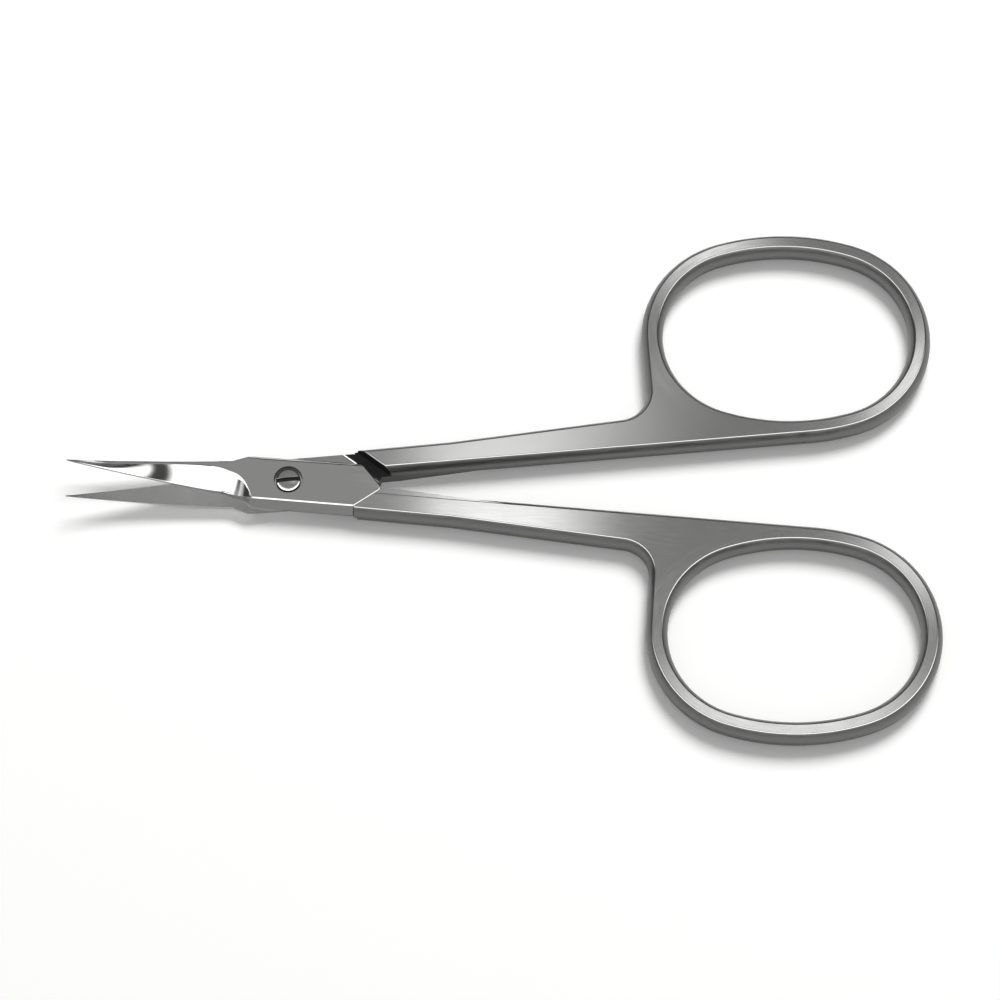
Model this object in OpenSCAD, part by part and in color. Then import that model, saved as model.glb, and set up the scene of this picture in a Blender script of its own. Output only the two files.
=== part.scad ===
// Cuticle scissors with two large oval finger rings.
// Two forged steel halves cross in a lap joint and turn on one slotted screw.
// The pointed blades curve upward, away from the face the scissors rest on.
// Flat on the table: X runs from the tips to the rings, Z is up.
// The origin is on the pivot axis, in the plane of the underside.

/* [Whole tool] */
// Thickness of the shanks and rings
steel_thick = 2.9; // [2:0.1:3.2]
// How far the lap plates stand proud of the shank faces
plate_proud = 0.05; // [0.02:0.01:0.12]
// Angle each half is turned from closed, as laid down (degrees)
rest_turn = 5; // [2:0.5:20]
// How far the side walls swell out at mid thickness
side_crown = 0.6; // [0.3:0.05:0.7]

/* [Finger rings] */
// Length of the finger hole at mid thickness
hole_long = 25.6; // [21:0.1:31]
// Width of the finger hole at mid thickness
hole_wide = 19; // [18.2:0.1:23]
// Radius of the rounded ends of the finger hole
hole_end_r = 8.9; // [8:0.1:9.2]
// Width of the steel band around the finger hole
band_wide = 2.25; // [1.8:0.05:2.7]
// Distance from the pivot to the middle of the ring, along the tool
ring_x = 52.7; // [44:0.1:64]
// Angle of the long axis of the ring, closed (degrees)
ring_tilt = -5.5; // [-8:0.5:0]
// Gap left between the two rings when closed
ring_gap = 0.34; // [0.2:0.02:0.8]

/* [Shanks] */
// Radius of the corner between the shank and the ring
corner_r = 3; // [2:0.1:4]
// Distance from the pivot to the start of the shank
shank_x = 7; // [6.4:0.1:7.2]
// Gap left between the two shanks when closed
shank_gap = 0.16; // [0.1:0.02:0.4]
// Width of the shank next to the lap
shank_wide = 2.95; // [2.4:0.05:3.2]
// Distance from the pivot at which the outer edge begins to spread
spread_x = 17; // [12:0.5:22]
// Angle of the spreading outer edge (degrees)
spread_turn = 3.1; // [2:0.1:5]

/* [Lap joint] */
// Half width of the lap plate on the side of the blade back
lap_back = 2.9; // [2.6:0.05:3]
// Half width of the lap plate on the handle side
lap_front = 2.9; // [2.6:0.05:3]
// Width of the slope along the handle side of the plate
lap_slope = 0.55; // [0.3:0.05:0.7]
// Width of the slope along the side of the blade back
back_slope_wide = 0.7; // [0.4:0.05:0.8]
// Distance from the pivot to the blade end of the plate
lap_start = 4.1; // [3.8:0.05:4.4]
// Distance from the pivot to the end corners of the plate
lap_end = 7.4; // [6.8:0.05:7.5]
// Distance from the pivot to the point of the plate
lap_point = 9.55; // [9:0.05:9.7]
// Distance from the pivot to the shoulder the other plate faces
shoulder = 7.15; // [7:0.05:7.4]
// Length over which the plain inner wall beside the plate dies away
root_run = 14; // [8:1:20]
// Direction the shoulder faces (degrees)
shoulder_turn = 48; // [45:1:52]
// Gap between each ride face and the middle plane
face_gap = 0.01; // [0.005:0.005:0.03]

/* [Blades] */
// Distance from the pivot to the tips
blade_reach = 22.8; // [18:0.1:28]
// Height the tips rise above the lap
tip_rise = 1.85; // [1:0.05:2.6]
// Distance from the pivot over which the ride face stays flat
flat_reach = 4; // [3:0.1:5]
// Slope of the blade back in plan (mm per mm)
back_slope = 0.115; // [0.1:0.005:0.125]
// Slope of the cutting edge in plan (mm per mm)
edge_slope = 0.093; // [0.08:0.001:0.1]
// Width of the tip
tip_wide = 0.1; // [0.08:0.01:0.2]
// Thickness of the tip
tip_thick = 0.3; // [0.2:0.05:0.5]
// Thickness left at the cutting edge
edge_thick = 0.1; // [0.06:0.01:0.2]
// Lean of the blade back, narrower toward the outer face (mm per mm)
back_lean = 0.3; // [0.1:0.02:0.4]
// Width of the land along the back
land_wide = 0.3; // [0.2:0.05:0.5]
// Distance over which the ground face runs out at the root
run_out = 1.5; // [0.7:0.1:1.6]
// Depth of the hollow ground into the outer face
hollow_deep = 0.08; // [0:0.01:0.12]

/* [Pivot screw] */
// Diameter of the screw body
screw_d = 1.6; // [1.3:0.1:2]
// Running clearance around the screw body, on the radius
screw_play = 0.03; // [0.02:0.01:0.06]
// Diameter of the screw head
head_d = 2.5; // [2.2:0.02:2.6]
// Thickness of the rim of the screw head
head_rim = 0.36; // [0.3:0.02:0.45]
// Height of the dome on the screw head
head_dome = 0.16; // [0.1:0.02:0.24]
// Gap around the screw head in its seat
seat_play = 0.2; // [0.1:0.02:0.3]
// Depth of the seat for the screw head
seat_deep = 0.5; // [0.45:0.01:0.6]
// Width of the screwdriver slot
slot_wide = 0.42; // [0.3:0.02:0.5]
// Depth of the screwdriver slot
slot_deep = 0.3; // [0.2:0.02:0.4]
// Direction of the slot, as laid down (degrees)
slot_turn = 6; // [0:1:90]

/* [Hidden] */
// Half thickness of shank and ring
half_t = steel_thick / 2;
// Half thickness of the pair of lap plates
plate_t = half_t + plate_proud;
// Radius of the swelling side walls
crown_r = (half_t * half_t + side_crown * side_crown) / (2 * side_crown);
// Finger hole: an oval of four arcs
hole_a = hole_long / 2;
hole_b = hole_wide / 2;
end_off = hole_a - hole_end_r;
side_r = (end_off * end_off + hole_b * hole_b - hole_end_r * hole_end_r)
    / (2 * (hole_b - hole_end_r));
side_off = side_r - hole_b;
join_turn = atan2(side_off, end_off);
// Lowest reach of the tilted ring below its middle
ring_low = side_r + band_wide - side_off * cos(ring_tilt);
ring_mid = [ring_x, ring_low + ring_gap / 2];
end_far = ring_mid + end_off * [cos(ring_tilt), sin(ring_tilt)];
end_near = ring_mid - end_off * [cos(ring_tilt), sin(ring_tilt)];
arc_over = ring_mid - side_off * [-sin(ring_tilt), cos(ring_tilt)];
arc_under = ring_mid + side_off * [-sin(ring_tilt), cos(ring_tilt)];
end_out = hole_end_r + band_wide;
side_out = side_r + band_wide;
// Inner edge of the shank, tangent to the underside of the ring
inner_at = [shank_x, shank_gap / 2];
inner_far = norm(inner_at - arc_under);
inner_to = inner_at - arc_under;
inner_turn = atan2(inner_to[1], inner_to[0]) + 360 + acos(side_out / inner_far);
inner_out = [cos(inner_turn), sin(inner_turn)];
// Outer edge of the shank, in two straight runs
outer_at = [shank_x, shank_gap / 2 + shank_wide];
outer_knee = [spread_x, outer_at[1] + (spread_x - shank_x) * 0.012];
outer_dir = [cos(spread_turn), sin(spread_turn)];
outer_out = [-sin(spread_turn), cos(spread_turn)];
// The ring leaves its near end along a straight side, then the corner arc
// meets that side and the outer edge of the shank
side_turn = 179;
side_dir = [cos(side_turn), sin(side_turn)];
side_at = side_dir * end_near + end_out + corner_r;
edge_at = outer_out * outer_knee + corner_r;
corner_mid = [side_at * outer_out[1] - edge_at * side_dir[1],
    edge_at * side_dir[0] - side_at * outer_out[0]]
    / (side_dir[0] * outer_out[1] - side_dir[1] * outer_out[0]);
// Radius of the upward curve of the blades
rise_run = blade_reach - flat_reach;
rise_r = (rise_run * rise_run + tip_rise * tip_rise) / (2 * tip_rise);
blade_steps = 28;
level_steps = 6;
head_r = head_d / 2;
seat_r = head_r + seat_play;
rear_hole_r = screw_d / 2;
front_hole_r = rear_hole_r + screw_play;

// Points of an arc, both ends included
function arc(mid, r, from, to, n) = [
    for (i = [0 : n])
        let (a = from + (to - from) * i / n)
        mid + r * [cos(a), sin(a)]
];

// Outline of shank and ring, drawn in by d all round.
// It starts on the inner edge, at a point from which every other corner can be seen.
function handle_line(d) = concat(
    [inner_at + 0.8 * (arc_under + side_out * inner_out - inner_at) - d * inner_out],
    arc(arc_under, side_out - d, inner_turn, 360 - join_turn + ring_tilt, 8),
    arc(end_far, end_out - d, -join_turn + ring_tilt + 4, join_turn + ring_tilt, 14),
    arc(arc_over, side_out - d, join_turn + ring_tilt + 3, 180 - join_turn + ring_tilt, 12),
    arc(end_near, end_out - d, 184 - join_turn + ring_tilt, side_turn, 12),
    arc(corner_mid, corner_r + d, side_turn - 180, spread_turn - 90, 9),
    [outer_knee - [0, d], outer_at - [0, d], inner_at - d * inner_out]
);

// Outline of the finger hole, drawn out by d all round
function hole_line(d) = concat(
    arc(end_far, hole_end_r + d, -join_turn + ring_tilt, join_turn + ring_tilt, 16),
    arc(arc_over, side_r + d, join_turn + ring_tilt + 4, 176 - join_turn + ring_tilt, 9),
    arc(end_near, hole_end_r + d, 180 - join_turn + ring_tilt, 180 + join_turn + ring_tilt, 16),
    arc(arc_under, side_r + d, 184 + join_turn + ring_tilt, 356 - join_turn + ring_tilt, 9)
);

// How far a side wall is drawn in at height z from mid thickness
function wall_in(z) = crown_r - sqrt(crown_r * crown_r - z * z);

// Rise of the ride face at a distance r from the pivot
function ride(r) = r < flat_reach ? 0
    : rise_r - sqrt(rise_r * rise_r - pow(r - flat_reach, 2));

// Solid skinned over a stack of outlines with equal numbers of points
module skin(rings) {
    n = len(rings[0]);
    m = len(rings);
    polyhedron(
        points = [for (ring = rings) for (p = ring) p],
        faces = concat(
            [[for (i = [0 : n - 1]) i]],
            [[for (i = [n : -1 : 1]) (m - 1) * n + i % n]],
            [for (k = [0 : m - 2]) for (i = [0 : n - 1])
                [(k + 1) * n + (i + 1) % n, k * n + (i + 1) % n, k * n + i]],
            [for (k = [0 : m - 2]) for (i = [0 : n - 1])
                [(k + 1) * n + i, (k + 1) * n + (i + 1) % n, k * n + i]]
        ),
        convexity = 6
    );
}

// Shank and ring as one bar of even thickness with swelling sides
module handle() {
    levels = [for (k = [0 : level_steps]) -half_t * cos(180 * k / level_steps)];
    past = concat([-half_t - 1], levels, [half_t + 1]);
    difference() {
        skin([for (z = levels) [for (p = handle_line(wall_in(z))) [p[0], p[1], z]]]);
        skin([for (z = past)
            let (w = wall_in(max(-half_t, min(half_t, z))))
            [for (p = hole_line(w)) [p[0], p[1], z]]]);
    }
}

// Distance of the blade back and of the cutting edge from the middle line
function back_y(x) = max(
    -tip_wide / 2 - back_slope * (blade_reach - x) - 0.42 * max(0, lap_start + 1.9 - x),
    -lap_back + 0.06
);
function edge_y(x) = min(
    tip_wide / 2 + edge_slope * (blade_reach - x)
        + 0.24 * max(0, lap_start + 2.7 - x) + 0.34 * max(0, lap_start + 0.3 - x),
    lap_front - 0.04
);

// Lean of the blade back, more toward the root where it meets the slope of the plate
function lean_at(x) = back_lean
    + (back_slope_wide / plate_t - back_lean) * max(0, min(1, (lap_start + 1.9 - x) / 1.6));

// Thickness of the blade along its back
function back_t(x) = tip_thick + (plate_t - tip_thick)
    * pow(sin(90 * min(1, (blade_reach - x) / (blade_reach - lap_start - 2))), 1.2);

// Cross-section of a blade at a distance x from the pivot, curving up or down
function blade_cut(x, rise) =
    let (yb = back_y(x), ye = edge_y(x), t = back_t(x))
    let (yt = yb + lean_at(x) * t)
    let (land = min(land_wide, 0.4 * (ye - yt)))
    let (left = pow(0.5, max(0, x - lap_start + 0.55) / run_out))
    let (slope_left = pow(0.5, max(0, x - lap_start + 0.4) / 0.85))
    let (te = edge_thick + (0.2 - edge_thick) * slope_left)
    let (ys = ye - 0.02 - (lap_slope - 0.02) * slope_left)
    let (ts = te + 0.02 + (t - te - 0.02) * slope_left)
    let (yr = yt + land + (ys - yt - land - 0.04) * left)
    let (ym = (yr + ys) / 2, tm = (t + ts) / 2 - hollow_deep * (1 - left))
    let (yc = (yb + ye) / 2)
    let (zb = rise * ride(norm([x, yb])), ze = rise * ride(norm([x, ye])))
    let (zc = rise * ride(norm([x, yc])))
    [
        [-x, yb, zb - face_gap],
        [-x, yc, zc - face_gap],
        [-x, ye, ze - face_gap],
        [-x, ye, ze - te],
        [-x, ys, ze - ts],
        [-x, ym, ze - tm],
        [-x, yr, zb - t],
        [-x, yt, zb - t]
    ];

// Blade below its ride face; rise is 1 for a blade curving up, -1 for down
module blade(rise) {
    root = lap_start - 0.7;
    xs = [for (k = [0 : blade_steps])
        root + (blade_reach - root) * pow(k / blade_steps, 1.5)];
    skin([for (x = xs) blade_cut(x, rise)]);
}

// Flat plate of the lap joint, sloped along both sides
module plate() {
    slope = atan2(lap_slope, plate_t - 0.2);
    slope_behind = atan2(back_slope_wide, plate_t - 0.2);
    difference() {
        translate([0, 0, -plate_t])
            linear_extrude(plate_t - face_gap)
                polygon([
                    [-lap_start, -lap_back + 0.1],
                    [lap_end - 0.5, -lap_back],
                    [lap_end, -lap_back + 0.5],
                    [lap_point, -0.1],
                    [lap_point - 0.1, 0.35],
                    [shank_x, lap_front - lap_slope],
                    [shank_x, lap_front],
                    [-lap_start + 0.6, lap_front]
                ]);
        translate([-lap_start - 1, lap_front, -0.2])
            rotate([-slope, 0, 0])
                translate([0, 0, -3])
                    cube([shank_x + lap_start + 2, 2, 3]);
        translate([-lap_start, -lap_back + 0.1, -0.2])
            rotate([slope_behind, 0, -0.7])
                translate([-1, -2, -3])
                    cube([lap_end + lap_start + 2, 2, 3]);
    }
}

// Plain inner wall of the shank beside the point of the plate
module root_wall() {
    translate([0, 0, -half_t + 0.02])
        linear_extrude(half_t - 0.02 - face_gap)
            polygon([
                [lap_end, 0.9],
                [lap_point - 0.3, 0],
                [lap_point + 0.2, 0.06],
                [lap_point + 2, shank_gap / 2],
                [lap_point + root_run, shank_gap / 2 + side_crown + 0.1],
                [lap_point + root_run, 0.9]
            ]);
}

// Room for the plate of the other half, up to the shoulder
module lap_room() {
    translate([0, 0, -face_gap])
        rotate([0, 0, shoulder_turn])
            translate([0, -9, 0])
                cube([shoulder, 18, half_t + 1 + face_gap]);
}

// One half lying closed, its handle toward +Y and its ride face just below z = 0
module half(rise) {
    plate();
    root_wall();
    blade(rise);
    difference() {
        handle();
        lap_room();
    }
}

// Half on top: turned over, its handle toward -Y, with the seat for the screw
module front_half() {
    color("Silver")
        translate([0, 0, plate_t])
            rotate([180, 0, -rest_turn])
                difference() {
                    half(-1);
                    cylinder(h = 3 * plate_t, r = front_hole_r, center = true, $fn = 48);
                    translate([0, 0, -plate_t - 1])
                        cylinder(h = seat_deep + 1, r = seat_r, $fn = 48);
                }
}

// Half underneath, its handle toward +Y, in which the screw is fixed
module rear_half() {
    color("DarkGray")
        translate([0, 0, plate_t])
            rotate([0, 0, rest_turn])
                difference() {
                    half(1);
                    cylinder(h = 3 * plate_t, r = rear_hole_r, center = true, $fn = 48);
                }
}

// Screw, flush with the underside of the rear half
module pivot_screw() {
    seat_z = 2 * plate_t - seat_deep;
    head_z = seat_z + face_gap * 2;
    color("Gainsboro")
        difference() {
            rotate_extrude($fn = 48)
                polygon([
                    [0, 0],
                    [rear_hole_r, 0],
                    [rear_hole_r, head_z],
                    [head_r, head_z],
                    [head_r, head_z + head_rim],
                    [head_r - 0.22, head_z + head_rim + head_dome * 0.75],
                    [head_r - 0.6, head_z + head_rim + head_dome * 0.95],
                    [0, head_z + head_rim + head_dome]
                ]);
            rotate([0, 0, slot_turn])
                translate([-2, -slot_wide / 2, head_z + head_rim + head_dome - slot_deep])
                    cube([4, slot_wide, 1]);
        }
}

front_half();
rear_half();
pivot_screw();
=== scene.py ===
"""Cuticle scissors: the looks of the two forged halves and the pivot screw.

Each half is drawn lying closed, in millimetres, with its handle toward +Y and the plane in
which it rides on the other half at z = 0. It is then turned into its place at rest.
"""

import logging
import math
from dataclasses import dataclass, field
from enum import Enum
from typing import Callable, Sequence

import bmesh
import bpy
from mathutils import Euler, Matrix, Vector

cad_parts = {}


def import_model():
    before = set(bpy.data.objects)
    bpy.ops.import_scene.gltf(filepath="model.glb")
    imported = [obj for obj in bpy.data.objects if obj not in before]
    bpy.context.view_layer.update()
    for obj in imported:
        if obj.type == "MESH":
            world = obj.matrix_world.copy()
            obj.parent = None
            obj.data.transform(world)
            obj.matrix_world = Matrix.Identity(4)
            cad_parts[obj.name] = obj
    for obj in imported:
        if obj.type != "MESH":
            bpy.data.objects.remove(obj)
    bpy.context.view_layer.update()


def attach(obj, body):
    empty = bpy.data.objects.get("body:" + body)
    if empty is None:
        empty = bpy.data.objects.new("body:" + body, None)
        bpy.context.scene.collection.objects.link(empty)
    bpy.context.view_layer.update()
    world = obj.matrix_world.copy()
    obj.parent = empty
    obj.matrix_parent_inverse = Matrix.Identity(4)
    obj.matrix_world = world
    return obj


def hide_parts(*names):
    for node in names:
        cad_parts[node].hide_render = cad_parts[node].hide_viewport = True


LOG = logging.getLogger("cuticle_scissors")
MM = 0.001
Point = tuple[float, float]


class Turn(Enum):
    """Which way up a half lies."""

    UNDER = 0.0
    OVER = 180.0


class Finish(Enum):
    """The finishes of the two halves."""

    SATIN = "satin"
    BUFFED = "buffed"
    GROUND = "ground"
    # the next finish is painted shade on steep walls: its dark colour stands in for the dark
    # surroundings they mirror
    PAINTED_WALL_SHADE = "painted_wall_shade"
    BURNISHED = "burnished"
    # the next finish is near black painted shade for the lower rims, the shoulder recess and the
    # screw seat, not a real skin
    SCALE = "scale"
    # the next finish is darker painted shade for the slopes and the strips along the blade edge and
    # land
    SLOPE = "slope"


# ---------------------------------------------------------------- bench tools


def clear_bench() -> None:
    """Leave edit mode and deselect everything."""
    if bpy.context.object is not None and bpy.context.object.mode != "OBJECT":
        bpy.ops.object.mode_set(mode="OBJECT")
    bpy.ops.object.select_all(action="DESELECT")


def take(piece: bpy.types.Object) -> None:
    """Make a piece the only selected and the active one."""
    clear_bench()
    piece.select_set(True)
    bpy.context.view_layer.objects.active = piece


def shape(piece: bpy.types.Object) -> None:
    """Open a piece in edit mode with nothing selected."""
    take(piece)
    bpy.ops.object.mode_set(mode="EDIT")
    bpy.ops.mesh.select_mode(type="VERT")
    bpy.ops.mesh.select_all(action="DESELECT")


def pick_edges(piece: bpy.types.Object, wanted: Callable[[bmesh.types.BMEdge], bool]) -> None:
    """Select the edges of the open piece that a test accepts.

    Args:
        piece: The piece in edit mode.
        wanted: Test of one edge.
    """
    bpy.ops.mesh.select_mode(type="EDGE")
    bpy.ops.mesh.select_all(action="DESELECT")
    sketch = bmesh.from_edit_mesh(piece.data)
    for edge in sketch.edges:
        if wanted(edge):
            edge.select_set(True)
    sketch.select_flush_mode()
    bmesh.update_edit_mesh(piece.data)


def face_out() -> None:
    """Turn all faces of the open piece outwards."""
    bpy.ops.mesh.select_all(action="SELECT")
    bpy.ops.mesh.normals_make_consistent(inside=False)


def draw_up(height: float) -> None:
    """Draw the face of the open piece straight up to a solid."""
    bpy.ops.mesh.select_all(action="SELECT")
    bpy.ops.mesh.extrude_region_move(TRANSFORM_OT_translate={"value": (0.0, 0.0, height)})
    face_out()


def put_down(piece: bpy.types.Object) -> None:
    """Move the place, turn and scale of a piece into its mesh."""
    take(piece)
    bpy.ops.object.transform_apply(location=True, rotation=True, scale=True)


def merge_shells(piece: bpy.types.Object, other: bpy.types.Object) -> None:
    """Join another open shell to a piece.

    Args:
        piece: The piece that stays.
        other: The shell that becomes part of it.
    """
    take(piece)
    other.select_set(True)
    bpy.ops.object.join()


def apply_modifier(piece: bpy.types.Object, kind: str, **settings: object) -> None:
    """Add one modifier to a piece and apply it.

    Args:
        piece: The piece.
        kind: Modifier type.
        settings: Values of the modifier.
    """
    take(piece)
    modifier = piece.modifiers.new(kind.title(), kind)
    for key, value in settings.items():
        setattr(modifier, key, value)
    bpy.ops.object.modifier_apply(modifier=modifier.name)


def combine(piece: bpy.types.Object, tool: bpy.types.Object, operation: str) -> None:
    """Join a tool body to a piece or cut it away, and drop the tool.

    Args:
        piece: The piece that stays.
        tool: The body that is used up.
        operation: UNION or DIFFERENCE.
    """
    apply_modifier(piece, "BOOLEAN", operation=operation, object=tool, solver="EXACT")
    mesh = tool.data
    bpy.data.objects.remove(tool)
    bpy.data.meshes.remove(mesh)


class Scriber:
    """Draws an outline of straight runs and arcs with one point, as with a scriber."""

    def __init__(self, name: str, at: Sequence[float]) -> None:
        """Set the point down.

        Args:
            name: Name of the new piece.
            at: Where the outline starts.
        """
        clear_bench()
        bpy.ops.mesh.primitive_plane_add(size=1.0, location=(0.0, 0.0, 0.0))
        self.piece = bpy.context.object
        self.piece.name = name
        self.at = Vector(at)
        bpy.ops.object.mode_set(mode="EDIT")
        bpy.ops.mesh.select_mode(type="VERT")
        bpy.ops.mesh.select_all(action="SELECT")
        bpy.ops.mesh.merge(type="CENTER")
        bpy.ops.transform.translate(value=self.at)

    def line(self, to: Sequence[float]) -> None:
        """Draw a straight run to a point."""
        step = Vector(to) - self.at
        bpy.ops.mesh.extrude_region_move(TRANSFORM_OT_translate={"value": step})
        self.at = Vector(to)

    def arc(self, centre: Sequence[float], sweep: float, steps: int) -> None:
        """Draw an arc about a centre.

        Args:
            centre: Middle of the arc.
            sweep: Angle in degrees, positive from +X to +Y.
            steps: Number of straight pieces.
        """
        middle = Vector((centre[0], centre[1], self.at.z))
        bpy.ops.mesh.spin(
            steps=steps, angle=-math.radians(sweep), center=middle, axis=(0.0, 0.0, 1.0)
        )
        self.at = middle + Matrix.Rotation(math.radians(sweep), 3, "Z") @ (self.at - middle)

    def close(self) -> bpy.types.Object:
        """Close the outline, fill it with one face that looks up, and return the piece."""
        bpy.ops.mesh.select_all(action="SELECT")
        bpy.ops.mesh.remove_doubles(threshold=0.004)
        bpy.ops.mesh.edge_face_add()
        sketch = bmesh.from_edit_mesh(self.piece.data)
        sketch.normal_update()
        if any(face.normal.z < 0.0 for face in sketch.faces):
            bpy.ops.mesh.flip_normals()
        return self.piece


def polar(centre: Point, radius: float, degrees: float) -> Point:
    """The point at an angle and radius about a centre."""
    turn = math.radians(degrees)
    return (centre[0] + radius * math.cos(turn), centre[1] + radius * math.sin(turn))


def step_in(levels: Sequence[Point]) -> None:
    """Raise the selected face in steps, drawn in at each.

    Args:
        levels: For each level its height and how far its outline is drawn in.
    """
    for (low, wide), (high, narrow) in zip(levels, levels[1:]):
        bpy.ops.mesh.inset(
            thickness=narrow - wide, depth=high - low, use_even_offset=True, use_boundary=True
        )


# ---------------------------------------------------------------- sub-assemblies


@dataclass(frozen=True)
class Forging:
    """Sizes that both halves share, in millimetres and degrees."""

    thick: float = 2.9
    proud: float = 0.05
    rest_turn: float = 5.0
    crown: float = 0.6
    rim_round: float = 0.2
    face_gap: float = 0.01

    @property
    def half_thick(self) -> float:
        """Half the thickness of shank and ring."""
        return self.thick / 2.0

    @property
    def plate_thick(self) -> float:
        """Thickness of one lap plate."""
        return self.half_thick + self.proud

    def wall_levels(self, wall_steps: int = 9, rim_steps: int = 5) -> list[Point]:
        """Heights and draw-ins of a side wall from mid thickness to the face.

        Args:
            wall_steps: Steps on the swelling wall.
            rim_steps: Steps round the rim.

        Returns:
            Pairs of height and draw-in, the rim rounded tangent to wall and face.
        """
        swell = (self.half_thick**2 + self.crown**2) / (2.0 * self.crown)
        reach = swell - self.rim_round
        rise = self.half_thick - self.rim_round
        lean = math.asin(rise / reach)
        mid_in = swell - reach * math.cos(lean)
        wall = [
            (swell * math.sin(lean * k / wall_steps),
             swell * (1.0 - math.cos(lean * k / wall_steps)))
            for k in range(wall_steps + 1)
        ]
        rim = []
        for k in range(1, rim_steps + 1):
            turn = lean + (math.pi / 2.0 - lean) * k / rim_steps
            rim.append(
                (rise + self.rim_round * math.sin(turn),
                 mid_in - self.rim_round * math.cos(turn))
            )
        return wall + rim


@dataclass(frozen=True)
class Ring:
    """The oval finger ring: an outline of four arcs."""

    hole_long: float = 25.6
    hole_wide: float = 19.0
    end_r: float = 8.9
    band: float = 2.25
    mid_x: float = 52.7
    tilt: float = -5.5
    gap: float = 0.34
    end_steps: int = 44
    side_steps: int = 22
    foot_steps: int = 16

    @property
    def end_off(self) -> float:
        """Distance from the middle to the centre of each end arc."""
        return self.hole_long / 2.0 - self.end_r

    @property
    def side_r(self) -> float:
        """Radius of the long sides of the hole."""
        half = self.hole_wide / 2.0
        return (self.end_off**2 + half**2 - self.end_r**2) / (2.0 * (half - self.end_r))

    @property
    def side_off(self) -> float:
        """Distance from the middle to the centre of each side arc."""
        return self.side_r - self.hole_wide / 2.0

    @property
    def join(self) -> float:
        """Direction in which end and side arcs meet, in degrees."""
        return math.degrees(math.atan2(self.side_off, self.end_off))

    @property
    def middle(self) -> Point:
        """Middle of the ring."""
        tilt = math.radians(self.tilt)
        low = self.side_r + self.band - self.side_off * math.cos(tilt)
        return (self.mid_x, low + self.gap / 2.0)

    def along(self, offset: float) -> Point:
        """Point on the long axis at an offset from the middle."""
        return polar(self.middle, offset, self.tilt)

    def across(self, offset: float) -> Point:
        """Point on the short axis at an offset from the middle."""
        return polar(self.middle, offset, self.tilt + 90.0)


@dataclass(frozen=True)
class Shank:
    """The straight bar from the lap to the ring."""

    start_x: float = 7.0
    gap: float = 0.16
    wide: float = 2.95
    spread_x: float = 17.0
    spread_turn: float = 3.1
    rise: float = 0.012
    corner_r: float = 3.0
    corner_steps: int = 22
    side_turn: float = 179.0
    cut_off: float = 1.6


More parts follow.
